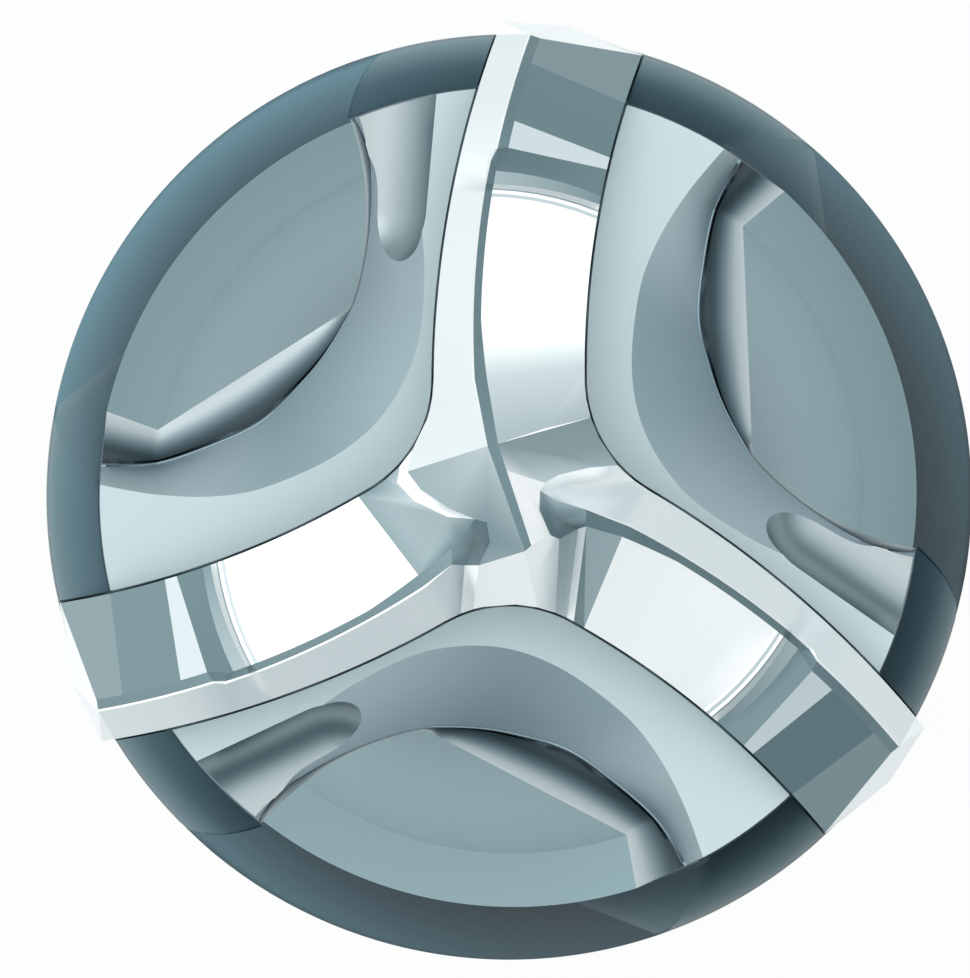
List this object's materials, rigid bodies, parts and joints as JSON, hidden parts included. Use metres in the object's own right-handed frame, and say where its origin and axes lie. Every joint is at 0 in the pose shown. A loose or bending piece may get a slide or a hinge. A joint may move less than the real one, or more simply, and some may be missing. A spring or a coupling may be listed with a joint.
{
  "type": "masonry drill bit",
  "caption": "Hammer drill bit for masonry: curved carbide cutting blades brazed into a fluted steel body with a grooved quick-change shank.",
  "frame": {"origin": "centre of the shank's end face", "axes": "+Z along the axis from the shank end to the tip, +Y along the first blade as seen from the tip"},
  "size_m": [0.0118, 0.0119, 0.16],
  "materials": {
    "carbide": "ground and sintered cemented carbide",
    "steel": "fine satin, machined",
    "braze": "dark oxidised braze metal"
  },
  "bodies": {
    "root": {"carbide_head": "carbide", "steel_body": "steel", "braze_seam": "braze"}
  },
  "joints": []
}
